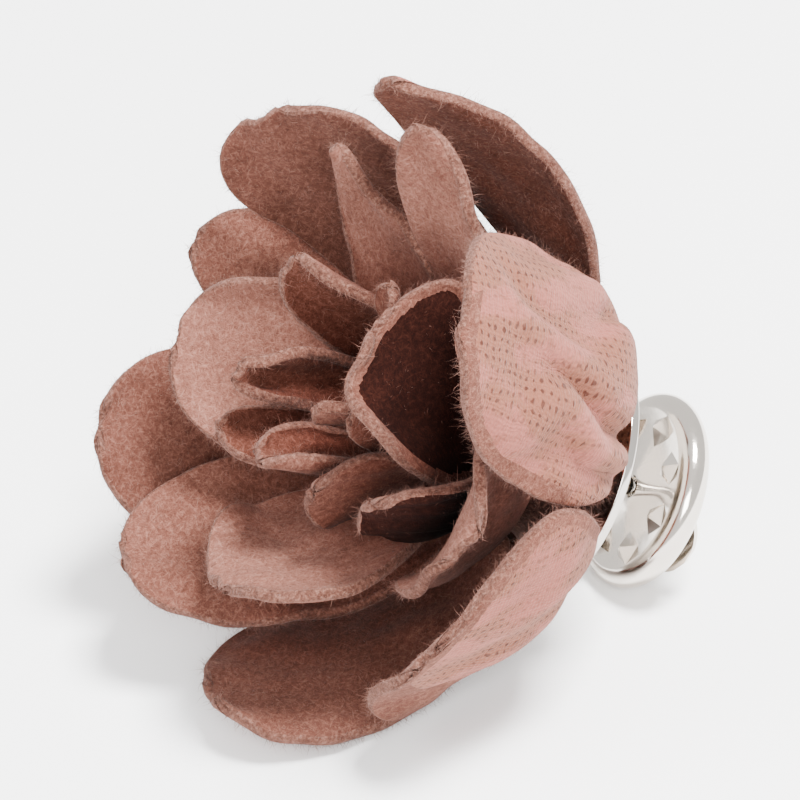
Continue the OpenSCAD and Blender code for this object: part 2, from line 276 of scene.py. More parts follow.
def flower_matrix():
    """From the flower's frame in millimetres to the row frame in metres."""
    b = math.radians(LIE_ANGLE)
    turn = Matrix.Rotation(math.radians(LIE_TURN), 4, "Z")
    lay = Matrix.Rotation(b - math.pi / 2, 4, "Y")
    lo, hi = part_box("disc_and_post")
    x = lo.x / MM + DISC_R * math.sin(b)
    z = hi.z / MM - DISC_R * math.cos(b)
    at = Vector((x, (lo.y + hi.y) / 2 / MM, z))
    return Matrix.Scale(MM, 4) @ Matrix.Translation(at) @ lay @ turn


LAID = flower_matrix()


def to_row(points):
    """Points in the flower's frame, as an array, in the row frame. Felt is flattened where it rests."""
    m = np.array(LAID)
    out = points @ m[:3, :3].T + m[:3, 3]
    out[:, 2] = np.maximum(out[:, 2], RESTING * MM)
    return out


# ---- Petal form ----

def arc(a, b, s):
    """End of a curve of length s that starts in direction a and ends in direction b, in radians."""
    d = b - a
    flat = np.abs(d) < 1e-3
    dd = np.where(flat, 1.0, d)
    x = np.where(flat, s * np.cos(a), s * (np.sin(b) - np.sin(a)) / dd)
    y = np.where(flat, s * np.sin(a), s * (np.cos(a) - np.cos(b)) / dd)
    return x, y


def core_r(h):
    """Radius of the round core at a height, or what puts a petal's root on the axis above its top."""
    if h > CORE[-1][0]:
        return -SEAT_GAP - FELT_T / 2
    return float(np.interp(h, [c[0] for c in CORE], [c[1] for c in CORE]))


def midline_points(p):
    """Root, belly and tip of a petal's midline, as (radius, height)."""
    belly = np.array([p["belly_r"] * FLOWER_R, p["belly_h"] * FLOWER_R + FLOOR_H])
    tip = np.array([p["tip_r"] * FLOWER_R, p["tip_h"] * FLOWER_R + FLOOR_H])
    h = p["root_h"] * FLOWER_R + FLOOR_H
    lean = math.atan2(belly[1] - h, belly[0] - core_r(h))
    low = h if h > CORE[-1][0] else h - FELT_T / 2 * math.cos(lean)
    root = np.array([core_r(low) + SEAT_GAP + FELT_T / 2 * abs(math.sin(lean)), h])
    return root, belly, tip


def on_midline(points, t):
    """Radius, height and direction in radians of a midline at the share t of its length."""
    root, belly, tip = points
    q = 1 - t
    r, h = (q * q * root[i] + 2 * q * t * belly[i] + t * t * tip[i] for i in (0, 1))
    along, up = (q * (belly[i] - root[i]) + t * (tip[i] - belly[i]) for i in (0, 1))
    return r, h, np.arctan2(up, along)


def outline(p, t):
    """A petal's width at the share t of its length, as a share of its greatest."""
    w = p["widest"]
    near = p["root_w"] + (1 - p["root_w"]) * np.sin(np.radians(90 * np.minimum(t / w, 1)))
    blunt = TIP_BLUNT * p["blunt"]
    far = np.maximum(1 - (np.maximum(t - w, 0) / (1 - w)) ** blunt, 0) ** (1 / blunt)
    return np.where(t < w, near, far)


def petal_surface(p, k, v):
    """Points of a petal's middle surface at stations k from 0 to 1 and steps v from -1 to 1, with the share
    of length and the half-width there."""
    w = p["widest"]
    tip_ease = np.sin(np.radians(LAST_STATION * np.maximum(2 * k - 1, 0)))
    t = np.where(k < 0.5, w * 2 * k, w + (1 - w) * tip_ease)
    g = outline(p, t)
    points = midline_points(p)
    r, h, al = on_midline(points, t)

    # The tip curls on an arc that leaves the midline where the curl starts
    c = CURL_FROM
    ab = on_midline(points, c)[2]
    curl = math.radians(p["curl"])
    f = np.maximum(t - c, 0) / (1 - c)
    s = 2 * (1 - c) * np.hypot(*(points[2] - points[1])) * f
    x, y = arc(ab + 0 * t, ab - curl * f, s)
    r, h, al = r + x - s * math.cos(ab), h + y - s * math.sin(ab), al - curl * f

    # Across, the cloth cups on one arc and rolls on at its left side on another
    half = p["width"] * FLOWER_R / 2
    x = np.abs(v) * g * half
    cup = np.radians(p["cup_root"] + (p["cup_tip"] - p["cup_root"]) * t)
    roll = np.radians(np.where(v > 0, 0, p["roll"])) * t
    s0 = ROLL_FROM * half
    flat_x = np.minimum(x, s0)
    over = np.maximum(x - s0, 0)
    e1 = cup * flat_x / half
    a1, b1 = arc(0 * x, e1, flat_x)
    a2, b2 = arc(e1, cup * x / half + roll * over / (half - s0), over)
    across, up = np.sign(v) * (a1 + a2), b1 + b2
    turn = np.radians(p["twist"]) * t
    side = across * np.cos(turn) - up * np.sin(turn)
    up = across * np.sin(turn) + up * np.cos(turn)
    slide = p["skew"] * side * t * t
    R = r - up * np.sin(al) + slide * np.cos(al)
    H = h + up * np.cos(al) + slide * np.sin(al)
    Q = side + p["shift"] * FLOWER_R * t * t
    a = math.radians(p["az"])
    return np.stack([R * math.cos(a) - Q * math.sin(a), R * math.sin(a) + Q * math.cos(a), H], -1), t, g * half


def unit(n):
    return n / (np.linalg.norm(n, axis=-1, keepdims=True) + 1e-12)


def over_points(g, value):
    """A value worked out at each point of a grid."""
    return np.array([value(Vector(q)) for q in g.reshape(-1, 3)]).reshape(g.shape[:2])


def grid_faces(rows, cols, base=0):
    """Corners of the quads of a grid of points, whose first point is base."""
    a = base + np.arange(rows - 1)[:, None] * cols + np.arange(cols - 1)
    return [tuple(f) for f in np.stack([a, a + 1, a + cols + 1, a + cols], -1).reshape(-1, 4).tolist()]


def around(grid):
    """The outline of a grid, point after point."""
    return np.concatenate([grid[0], grid[1:, -1], grid[-1, :-1][::-1], grid[1:-1, 0][::-1]])


def face_normals(g):
    return unit(np.cross(np.gradient(g, axis=0), np.gradient(g, axis=1)))


def cell_areas(g):
    return np.linalg.norm(np.cross(g[1:, :-1] - g[:-1, :-1], g[:-1, 1:] - g[:-1, :-1]), axis=-1)


def cloth_area(g):
    return cell_areas(g).sum()


def evened(room):
    """A field no higher than the given one, with its steps smoothed out."""
    rows, cols = room.shape
    for change in (np.min, np.mean):
        for _ in range(EVEN_STEPS):
            wide = np.pad(room, 1, mode="edge")
            room = change([wide[i:i + rows, j:j + cols] for i in range(3) for j in range(3)], axis=0)
    return room


def petal_tree(rows):
    """The other petals' middle surfaces, to measure how much room there is for a ruffle."""
    verts, faces = [], []
    k, v = np.meshgrid(np.linspace(0, 1, PLAIN[0] + 1), np.linspace(-1, 1, PLAIN[1] + 1), indexing="ij")
    for p in rows:
        faces += grid_faces(*k.shape, len(verts))
        verts += [tuple(q) for q in petal_surface(p, k, v)[0].reshape(-1, 3)]
    return BVHTree.FromPolygons(verts, faces)


def edge_distance(g):
    """How far each point of a petal is from the petal's outline."""
    rim = around(g)
    after = np.roll(rim, -1, axis=0)
    rim = np.concatenate([rim + (after - rim) * f for f in np.arange(RIM_STEPS) / RIM_STEPS])
    tree = KDTree(len(rim))
    for i, q in enumerate(rim):
        tree.insert(Vector(q), i)
    tree.balance()
    return over_points(g, lambda q: tree.find(q)[2])


def stations(p):
    """The places along and across a petal where its mesh has points."""
    across, along = (int(np.clip(p["width"] * FLOWER_R * n, least, most)) for n, least, most in (ACROSS, ALONG))
    k = np.linspace(0, 1, along + 1)
    k = (k + ROWS_EASE * np.sin(2 * np.pi * k) / (2 * np.pi))[:, None] * np.ones(across + 1)
    turn = math.pi / 2 * SIDES_EASE
    v = np.sin(np.linspace(-1, 1, across + 1) * turn) / math.sin(turn)
    return k, np.ones(along + 1)[:, None] * v


def worked_surface(p, look, others):
    """A petal's middle surface with its ribs, ruffles and dents, and what the mesh, the fibres and the
    materials need to know of it. The cloth is worked only as far as there is room before the next petal."""
    k, v = stations(p)
    g, t, half = petal_surface(p, k, v)
    n = face_normals(g)
    edge = edge_distance(g)
    seed = 17.0 * look["index"]
    dent = over_points(g, lambda q: noise.noise(q * DENT_SCALE + Vector((seed, 0, 0))))
    fine = over_points(g, lambda q: noise.noise(q * FINE_SCALE + Vector((0, seed, 0))))

    # Dents grow from the root, ribs fill the middle and ruffles run along the edge
    side = v * half / half.max()
    lift = look["soft"] * (dent + 0.4 * fine) * np.clip(2 * t, 0, 1)
    rib = np.cos(math.pi * (look["ribs"] * side + look["slant"] * 2 * t + 1.4 * dent) + seed)
    middle = np.sin(np.pi * np.clip(t * 1.1, 0, 1)) ** 0.6 * np.clip(edge / RIB_FADE, 0, 1)
    lift = lift + look["rib_h"] / 2 * middle * np.abs(rib) ** 0.8 * np.sign(rib)
    phase = math.pi * look["waves"] * (0.9 * t + 0.45 * side) + seed * 1.7 + 2 * dent
    lip = np.exp(-edge / LIP_W) * np.clip(t * 1.6 - 0.25, 0, 1) * np.minimum(1.25 * np.abs(v), 1) ** 2
    lift = lift + look["wave_h"] * lip * np.sin(phase)

    room = over_points(g, lambda q: others.find_nearest(q)[3])
    room = evened(np.maximum((room - FELT_T) * ROOM_SHARE, 0.0) + ROOM_LEAST)
    lift = room * np.tanh(lift / room)
    places = zip(t.ravel(), np.sign(v).ravel())
    uneven = [noise.noise(Vector((a * WANDER_WAVES, seed + b, 0))) for a, b in places]
    uneven = np.array(uneven).reshape(t.shape) * np.sign(v) * np.abs(v) ** 3 * np.clip(2.5 * t - 0.5, 0, 1)
    shift = np.minimum(np.minimum(room, look["uneven"]), WANDER_SHARE * half) * uneven
    g = g + n * lift[..., None] + unit(g[:, -1:] - g[:, :1]) * shift[..., None]

    full = 1 - np.clip(edge / ROUNDING, 0, 1)
    thick = SHOWN_T / 2 - ROUNDING + ROUNDING * np.sqrt(1 - full ** 2)
    sides = [g[0] - g[1], (g[:, -1] - g[:, -2])[1:], (g[-1] - g[-2])[:-1][::-1], (g[:, 0] - g[:, 1])[1:-1][::-1]]
    centre = g[:, (v.shape[1] - 1) // 2]
    along = np.concatenate([[0], np.cumsum(np.linalg.norm(np.diff(centre, axis=0), axis=1))])
    return {
        "mid": g, "normal": face_normals(g), "edge": edge, "t": t, "thick": thick,
        "outward": unit(np.concatenate(sides)), "turned": TURNED.get(p["name"], []),
        "along": along[:, None] + 0 * t, "across": v * half, "half": half,
    }


def add_object(name, data):
    ob = bpy.data.objects.new(name, data)
    bpy.context.scene.collection.objects.link(ob)
    return ob


def build_mesh(name, verts, faces, materials, face_mats=None, uvs=None, deep=None):
    me = bpy.data.meshes.new(name)
    me.from_pydata([tuple(q) for q in verts], [], faces)
    for m in materials:
        me.materials.append(m)
    if face_mats is not None:
        me.polygons.foreach_set("material_index", np.asarray(face_mats, np.int32))
    if uvs is not None:
        layer = me.uv_layers.new(name="cloth")
        loops = np.empty(len(me.loops), np.int32)
        me.loops.foreach_get("vertex_index", loops)
        layer.data.foreach_set("uv", np.asarray(uvs, np.float32)[loops].ravel())
    # deep: how shut in each point is, which the materials paint into its colour as shade
    if deep is not None:
        shade = me.attributes.new("painted_gap_shade", "FLOAT", "POINT")
        shade.data.foreach_set("value", np.asarray(deep, np.float32))
    me.polygons.foreach_set("use_smooth", np.ones(len(me.polygons), bool))
    me.update()
    return add_object(name, me)


def spread(n):
    """Directions over a half-sphere about +Z, thicker near its middle."""
    i = np.arange(n) + 0.5
    r, a = np.sqrt(i / n), i * math.pi * (3 - math.sqrt(5))
    return np.stack([r * np.cos(a), r * np.sin(a), np.sqrt(1 - r * r)], -1)


def painted_gap_shade(cloths):
    """Adds to each cloth how much of its surroundings each point of its two faces has other felt in front of,
    from 0 in the open to 1 at the bottom of a gap: the amount of shade that the materials paint into its colour."""
    verts, faces = [], []
    for c in cloths:
        rows, cols = c["t"].shape
        c["rows"], c["cols"] = (np.linspace(0, n - 1, GRID_N).astype(int) for n in (rows, cols))
        faces += grid_faces(GRID_N, GRID_N, len(verts))
        verts += [tuple(q) for q in c["mid"][c["rows"]][:, c["cols"]].reshape(-1, 3)]
    tree = BVHTree.FromPolygons(verts, faces)
    rays = spread(RAYS)
    for c in cloths:
        rows, cols = c["t"].shape
        at, up = (c[key][c["rows"]][:, c["cols"]].reshape(-1, 3) for key in ("mid", "normal"))
        for n, key in ((up, "front_in"), (-up, "back_in")):
            x = unit(np.cross(n, [0.31, 0.87, -0.38]))
            y = np.cross(n, x)
            ways = sum(rays[None, :, i:i + 1] * axis[:, None] for i, axis in enumerate((x, y, n)))
            share = []
            for q, group in zip(at + n * LOOK_FROM, ways):
                q = Vector(q)
                found = (tree.ray_cast(q, Vector(w), REACH)[3] for w in group)
                share.append(sum(1 - d / FADE for d in found if d is not None) / len(rays))
            coarse = np.array(share).reshape(GRID_N, GRID_N)
            across = np.array([np.interp(np.arange(cols), c["cols"], row) for row in coarse])
            c[key] = np.array([np.interp(np.arange(rows), c["rows"], column) for column in across.T]).T


def turned_strip(cloth):
    """Which faces of a petal's back lie on the strip that shows along its rolled edge."""
    near = np.zeros(cloth["t"].shape, bool)
    for width, start, side in cloth["turned"]:
        near |= (cloth["edge"] < width) & (cloth["t"] > start) & (cloth["across"] <= side * cloth["half"])
    return near[:-1, :-1].ravel()


def petal_mesh(p, cloth, mats):
    """A felt petal as a closed mesh with a cut edge. Material 0 is its front, 1 its back and 2 its edge."""
    g, n, edge = cloth["mid"], cloth["normal"], cloth["edge"]
    rows, cols = edge.shape
    count = rows * cols
    top, bottom = g + n * cloth["thick"][..., None], g - n * cloth["thick"][..., None]
    index = np.arange(count).reshape(rows, cols)
    ring = around(index)
    turn = np.linspace(0, 1, len(ring) + 1)[:-1] * 2 * np.pi
    out = EDGE_OUT + sum(high * np.sin(turn * waves + start) for high, waves, start in EDGE_WOBBLE)
    middle = g.reshape(-1, 3)[ring] + cloth["outward"] * out[:, None]
    verts = np.concatenate([top.reshape(-1, 3), bottom.reshape(-1, 3), middle])

    front = np.array(grid_faces(rows, cols))
    mid_row = 2 * count + np.arange(len(ring))
    following = np.roll(np.arange(len(ring)), -1)
    upper = np.stack([ring, mid_row, mid_row[following], ring[following]], -1)
    lower = np.stack([mid_row, ring + count, ring[following] + count, mid_row[following]], -1)
    faces = np.concatenate([front, front[:, [0, 3, 2, 1]] + count, upper, lower])
    at_edge = (edge[:-1, :-1] + edge[1:, 1:]).reshape(-1) / 2 < ROUNDING * 0.75
    back = np.where(turned_strip(cloth), 0, 1)
    mat = np.concatenate([np.where(at_edge, 2, 0), np.where(at_edge, 2, back), np.full(2 * len(ring), 2)])

    uv = np.stack([cloth["along"], cloth["across"]], -1).reshape(-1, 2)
    # How shut in each face and the cut edge are, painted by the materials as shade
    before, behind = cloth["front_in"].ravel(), cloth["back_in"].ravel()
    deep = np.concatenate([before, behind, ((before + behind) / 2)[ring]])
    uvs = np.concatenate([uv, uv, uv[ring]])
    return build_mesh(p["name"] + "_felt", to_row(verts), faces.tolist(), mats, mat, uvs, deep)


# ---- Fibres ----

def fibre_mesh(name, roots, ways, lengths, widths, bends, deep, mat):
    """Fine fibres as tapered two-step blades; deep is how shut in their roots are, painted on them as shade."""
    rng = np.random.default_rng(len(roots) + 5)
    side = unit(np.cross(ways, unit(rng.normal(size=ways.shape)))) * widths[:, None] / 2
    mid, tip = (roots + ways * (lengths * reach)[:, None] + bends * (lengths * bend)[:, None]
                for reach, bend in (FIBRE_MID, FIBRE_TIP))
    verts = np.stack([roots - side, roots + side, mid + side * 0.8, mid - side * 0.8, tip], 1)
    base = (np.arange(len(roots)) * 5)[:, None]
    faces = [tuple(f) for corners in ((0, 1, 2, 3), (3, 2, 4)) for f in (base + np.array(corners)).tolist()]
    return build_mesh(name, to_row(verts.reshape(-1, 3)), faces, [mat], deep=np.repeat(deep, 5))


def sample_nap(cloth, rng, count, side):
    """Root, direction, bend and painted gap shade of short fibres on one face of a petal: side is 1 front, -1 back.
    """
    g, n = cloth["mid"], cloth["normal"]
    cols = g.shape[1]
    area = cell_areas(g).ravel()
    if side < 0:
        area = area * ~turned_strip(cloth)
    pick = rng.choice(len(area), count, p=area / area.sum())
    i, j = pick // (cols - 1), pick % (cols - 1)
    a, b = rng.random((2, count, 1))
    at = g[i, j] + (g[i + 1, j] - g[i, j]) * a + (g[i, j + 1] - g[i, j]) * b
    up = n[i, j] * side
    root = at + up * (cloth["thick"][i, j][:, None] * 0.97)
    free = unit(rng.normal(size=(count, 3)))
    flat = unit(free - up * np.sum(free * up, -1, keepdims=True))
    least, most, rarely = NAP_STAND
    way = unit(flat + up * (least + (most - least) * rng.random((count, 1)) ** rarely))
    deep = cloth["front_in" if side > 0 else "back_in"][i, j]
    return root, way, unit(rng.normal(size=(count, 3)) - up * 0.2), deep


def sample_rim(cloth, rng, count):
    """Root, direction, bend and painted gap shade of fibres that stand out from a petal's cut edge."""
    g, n = cloth["mid"], cloth["normal"]
    rows, cols = cloth["t"].shape
    line = [(i, 0) for i in range(BARE_ROWS, rows)] + [(rows - 1, j) for j in range(1, cols)]
    line += [(i, cols - 1) for i in range(rows - 2, BARE_ROWS - 1, -1)]
    i, j = np.array(line).T
    rim = g[i, j]
    inner = g[np.minimum(i, rows - 3), np.clip(j, 2, cols - 3)]
    step = np.linalg.norm(np.diff(rim, axis=0), axis=1)
    total = np.concatenate([[0], np.cumsum(step)])
    at = rng.random(count) * total[-1]
    s = np.clip(np.searchsorted(total, at) - 1, 0, len(step) - 1)
    f = ((at - total[s]) / np.maximum(step[s], 1e-9))[:, None]
    root = rim[s] * (1 - f) + rim[s + 1] * f
    out = unit(root - (inner[s] * (1 - f) + inner[s + 1] * f))
    up = n[i[s], j[s]]
    a = rng.uniform(-RIM_FAN, RIM_FAN, (count, 1))
    way = unit(out * np.cos(a) + up * np.sin(a) + rng.normal(size=(count, 3)) * RIM_STRAY)
    root = root - out * 0.05 + up * np.sin(a) * SHOWN_T * 0.40
    deep = (cloth["front_in"][i[s], j[s]] + cloth["back_in"][i[s], j[s]]) / 2
    return root, way, unit(rng.normal(size=(count, 3))), deep


# ---- Materials ----

# Painted shade: what a felt's colour is multiplied by half-way down a gap and at its bottom, and the same for a cut
# edge
PAINTED_GAP_SHADE = ((0.60, 0.48, 0.45), (0.12, 0.065, 0.052))
PAINTED_EDGE_SHADE = ((0.78, 0.72, 0.70), (0.34, 0.26, 0.24))


def new_material(name):
    m = bpy.data.materials.new(name)
    m.use_nodes = True
    nt = m.node_tree
    nt.nodes.clear()
    out = nt.nodes.new("ShaderNodeOutputMaterial")
    b = nt.nodes.new("ShaderNodeBsdfPrincipled")
    nt.links.new(b.outputs["BSDF"], out.inputs["Surface"])
    return m, nt, b


def set_inputs(n, values):
    for socket, value in values.items():
        n.inputs[socket].default_value = value


def node(nt, kind, **inputs):
    n = nt.nodes.new("ShaderNode" + kind)
    set_inputs(n, inputs)
    return n


def finish(nt, b, colour, rough, specular, sheen, sheen_rough=0.5, tint=(1.0, 1.0, 1.0), gap_shade=PAINTED_GAP_SHADE):
    """Gives a cloth shader its colour, with shade painted into the gaps, and its constants, each on its own socket.
    """
    nt.links.new(paint_gap_shade(nt, colour, *gap_shade), b.inputs["Base Color"])
    set_inputs(b, {"Roughness": rough, "Specular IOR Level": specular, "Sheen Weight": sheen,
                   "Sheen Roughness": sheen_rough, "Sheen Tint": (*tint, 1)})


def add_bump(nt, b, height, strength, distance):
    bump = node(nt, "Bump", Strength=strength, Distance=distance)
    nt.links.new(height, bump.inputs["Height"])
    nt.links.new(bump.outputs["Normal"], b.inputs["Normal"])


def maths(nt, op, a, b=0.5, clamp=False):
    n = nt.nodes.new("ShaderNodeMath")
    n.operation = op
    n.use_clamp = clamp
    for i, q in enumerate((a, b)):
        if isinstance(q, (int, float)):
            n.inputs[i].default_value = q
        else:
            nt.links.new(q, n.inputs[i])
    return n.outputs[0]


def weighted(nt, *terms):
    """The sum of (value, weight) pairs."""
    total = None
    for value, weight in terms:
        part = maths(nt, "MULTIPLY", value, weight)
        total = part if total is None else maths(nt, "ADD", total, part)
    return total


def ramp(nt, value, *stops):
    """A colour ramp of (place, colour) stops; a number for a colour is a grey."""
    n = nt.nodes.new("ShaderNodeValToRGB")
    while len(n.color_ramp.elements) < len(stops):
        n.color_ramp.elements.new(0.5)
    for e, (pos, colour) in zip(n.color_ramp.elements, stops):
        e.position = pos
        e.color = (*(colour if isinstance(colour, tuple) else (colour,) * 3), 1)
    nt.links.new(value, n.inputs["Fac"])
    return n.outputs["Color"]


def mix_colour(nt, fac, a, b, mode="MIX"):
    n = nt.nodes.new("ShaderNodeMix")
    n.data_type = "RGBA"
    n.blend_type = mode
    for label, kind, q in (("Factor", "VALUE", fac), ("A", "RGBA", a), ("B", "RGBA", b)):
        socket = next(i for i in n.inputs if i.name == label and i.type == kind)
        if isinstance(q, (int, float)):
            socket.default_value = q
        elif isinstance(q, tuple):
            socket.default_value = (*q, 1)
        else:
            nt.links.new(q, socket)
    return next(o for o in n.outputs if o.type == "RGBA")


def shaded(nt, colour, value, *stops, fac=1.0):
    """A colour multiplied by a ramp of a value."""
    return mix_colour(nt, fac, colour, ramp(nt, value, *stops), "MULTIPLY")


def cloth_coords(nt, angle, scale=(1, 1)):
    """The cloth's own coordinates, in millimetres, turned and stretched."""
    tc = nt.nodes.new("ShaderNodeUVMap")
    tc.uv_map = "cloth"
    mp = node(nt, "Mapping", Rotation=(0, 0, math.radians(angle)), Scale=(1 / scale[0], 1 / scale[1], 1))
    mp.vector_type = "TEXTURE"
    nt.links.new(tc.outputs["UV"], mp.inputs["Vector"])
    return mp.outputs["Vector"]


def noise_at(nt, vector, scale, detail=3.0, rough=0.6, distortion=0.0):
    n = node(nt, "TexNoise", Scale=scale, Detail=detail, Roughness=rough, Distortion=distortion)
    nt.links.new(vector, n.inputs["Vector"])
    return n.outputs["Fac"]


def fibre_field(nt, fine):
    """Matted fibres: streaks of noise in several directions, the highest showing. fine is streaks per mm."""
    best = None
    for angle, shift in ((7, 0.0), (49, 0.01), (83, 0.0), (118, 0.015), (157, 0.0)):
        f = noise_at(nt, cloth_coords(nt, angle, (fine * 0.22, fine)), 1.0, 2.0, 0.55, 0.5)
        f = maths(nt, "ADD", f, shift)
        best = f if best is None else maths(nt, "MAXIMUM", best, f)
    return best


def object_coords(nt):
    return nt.nodes.new("ShaderNodeTexCoord").outputs["Object"]


def paint_gap_shade(nt, colour, middle, deep):
    """Paints shade into a colour: darkens and deepens it by how shut in the surface is between the petals."""
    at = nt.nodes.new("ShaderNodeAttribute")
    at.attribute_name = "painted_gap_shade"
    return shaded(nt, colour, at.outputs["Fac"], (0.20, 1.0), (0.48, middle), (0.74, deep))


def felt(name, dark, mean, light, sheen=0.06, bump_h=0.00014):
    """Napped felt: short matted fibres over soft mottling, with a few pale ones on top."""
    m, nt, b = new_material(name)
    fibres = fibre_field(nt, 7.0)
    mottle = noise_at(nt, cloth_coords(nt, 30), 2.6, 4.0, 0.72)
    grain = noise_at(nt, cloth_coords(nt, 20), 11.0, 2.0, 0.7)
    patch = noise_at(nt, object_coords(nt), 230.0, 3.0, 0.55)
    colour = ramp(nt, weighted(nt, (fibres, 0.6), (mottle, 0.4)), (0.42, dark), (0.55, mean), (0.66, light))
    colour = shaded(nt, colour, patch, (0.30, (0.80, 0.76, 0.75)), (0.70, (1.14, 1.14, 1.16)))
    colour = shaded(nt, colour, grain, (0.34, (0.74, 0.71, 0.7)), (0.52, 1.0), (0.68, (1.22, 1.21, 1.22)), fac=0.8)
    finish(nt, b, colour, 0.95, 0.08, sheen, 0.45, (0.95, 0.66, 0.58))
    add_bump(nt, b, weighted(nt, (fibres, 0.8), (grain, 0.35), (mottle, 0.5)), 0.8, bump_h)
    return m


def woven_back(name, pale, rosy, brown, dot):
    """Woven back: a plain weave with darker dots on the slant, and brown stains where the felt shows through."""
    m, nt, b = new_material(name)
    sep = nt.nodes.new("ShaderNodeSeparateXYZ")
    warp = cloth_coords(nt, 38)
    jitter = node(nt, "TexNoise", Scale=1.3)
    nt.links.new(warp, jitter.inputs["Vector"])
    add = nt.nodes.new("ShaderNodeVectorMath")
    add.operation = "MULTIPLY_ADD"
    nt.links.new(jitter.outputs["Color"], add.inputs[0])
    add.inputs[1].default_value = (0.62, 0.62, 0)
    nt.links.new(warp, add.inputs[2])
    nt.links.new(add.outputs[0], sep.inputs[0])

    def checks(pitch):
        """Waves along both threads, multiplied: a chequer with a pitch in millimetres."""
        turns = [maths(nt, "MULTIPLY", sep.outputs[i], 2 * math.pi / pitch) for i in (0, 1)]
        return maths(nt, "MULTIPLY", *(maths(nt, "SINE", turn) for turn in turns))

    threads = checks(0.34)
    worn = noise_at(nt, cloth_coords(nt, 50), 1.9, 3.0, 0.7)
    dots = maths(nt, "ADD", checks(0.80), maths(nt, "MULTIPLY", worn, 1.1))
    dots = maths(nt, "MULTIPLY", maths(nt, "SUBTRACT", dots, 0.98), 2.6, True)
    patch = noise_at(nt, cloth_coords(nt, -14, (0.36, 1)), 0.40, 4.0, 0.55, 0.5)
    spots = maths(nt, "MULTIPLY", dots, ramp(nt, patch, (0.44, 0.95), (0.60, 0.15)))
    grain = noise_at(nt, cloth_coords(nt, 11), 7.0, 3.0, 0.7)
    stains = noise_at(nt, cloth_coords(nt, 70, (1.4, 0.8)), 0.9, 3.0, 0.55, 0.6)
    base = mix_colour(nt, ramp(nt, patch, (0.47, 0.0), (0.57, 1.0)), pale, rosy)
    base = mix_colour(nt, ramp(nt, stains, (0.56, 0.0), (0.74, 0.75)), base, brown)
    base = mix_colour(nt, spots, base, dot)
    weave = maths(nt, "ADD", maths(nt, "MULTIPLY", threads, 0.5), 0.5)
    base = shaded(nt, base, weave, (0.2, (0.95, 0.94, 0.93)), (0.8, 1.04), fac=0.8)
    base = shaded(nt, base, grain, (0.35, (0.82, 0.79, 0.78)), (0.65, (1.10, 1.09, 1.09)), fac=0.8)
    finish(nt, b, base, 0.9, 0.12, 0.10, 0.5, (1.0, 0.80, 0.75))
    add_bump(nt, b, weighted(nt, (threads, 0.30), (grain, 0.5), (spots, -0.5)), 0.65, 0.00012)
    return m


def felt_edge(name, dark, mean, light):
    """The cut edge of felt, and the core: dense short fibre ends."""
    m, nt, b = new_material(name)
    ends = noise_at(nt, object_coords(nt), 4600.0, 3.0, 0.7)
    uneven = noise_at(nt, object_coords(nt), 900.0, 2.0, 0.6)
    colour = ramp(nt, ends, (0.36, dark), (0.52, mean), (0.68, light))
    colour = shaded(nt, colour, uneven, (0.3, (0.84, 0.82, 0.82)), (0.7, 1.1))
    finish(nt, b, colour, 0.95, 0.08, 0.12, 0.5, (1.0, 0.72, 0.64), PAINTED_EDGE_SHADE)
    add_bump(nt, b, ends, 0.9, 0.00018)
    return m


def fibre_material(name, dark, light):
    m, nt, b = new_material(name)
    colour = ramp(nt, noise_at(nt, object_coords(nt), 1400.0, 2.0, 0.6), (0.38, dark), (0.62, light))
    finish(nt, b, colour, 0.8, 0.15, 0.1)
    return m


def plated_metal(name, tint, rough):
    """Polished plating with the faint unevenness of pressed sheet and fine handling marks."""
    m, nt, b = new_material(name)
    co = object_coords(nt)
    wide = noise_at(nt, co, 420.0, 2.0, 0.5)
    fine = noise_at(nt, co, 5200.0, 3.0, 0.7)
    nt.links.new(ramp(nt, wide, (0.3, tuple(c * 0.94 for c in tint)), (0.7, tint)), b.inputs["Base Color"])
    b.inputs["Metallic"].default_value = 1.0
    nt.links.new(ramp(nt, fine, (0.35, rough * 0.7), (0.75, rough * 1.6)), b.inputs["Roughness"])
    add_bump(nt, b, wide, 0.12, 0.0002)
    return m


# ---- Metal pieces ----

def lathe(profile, steps=160, closed=False):
    """Vertices and faces of a profile of (radius, height) turned round the flower's axis."""
    a = np.arange(steps) * 2 * np.pi / steps
    prof = np.array(profile, float)
    verts = np.stack([prof[:, None, 0] * np.cos(a), prof[:, None, 0] * np.sin(a), prof[:, None, 1] + 0 * a], -1)
    n = len(prof)
    faces = []
    for i in range(n if closed else n - 1):
        here, there = i * steps, (i + 1) % n * steps
        for j in range(steps):
            k = (j + 1) % steps
            faces.append((here + j, here + k, there + k, there + j))
    return verts.reshape(-1, 3), faces


def rounded(points, r, steps=5):
    """A closed profile with its corners rounded to radius r."""
    pts = [np.array(p, float) for p in points]
    out = []
    for i, p in enumerate(pts):
        a, b = pts[i - 1] - p, pts[(i + 1) % len(pts)] - p
        reach = min(r, 0.45 * np.linalg.norm(a), 0.45 * np.linalg.norm(b))
        for s in np.linspace(0, 1, steps):
            out.append(tuple(p + unit(a) * reach * (1 - s) ** 2 + unit(b) * reach * s ** 2))
    return out


def keep_corners(angle, ob):
    """Shades an object smooth but for its corners sharper than an angle in degrees, and returns it."""
    bm = bmesh.new()
    bm.from_mesh(ob.data)
    bmesh.ops.remove_doubles(bm, verts=bm.verts, dist=2e-7)
    bmesh.ops.recalc_face_normals(bm, faces=bm.faces)
    for e in bm.edges:
        if len(e.link_faces) == 2 and e.calc_face_angle() > math.radians(angle):
            e.smooth = False
    bm.to_mesh(ob.data)
    bm.free()
    ob.data.update()
    return ob


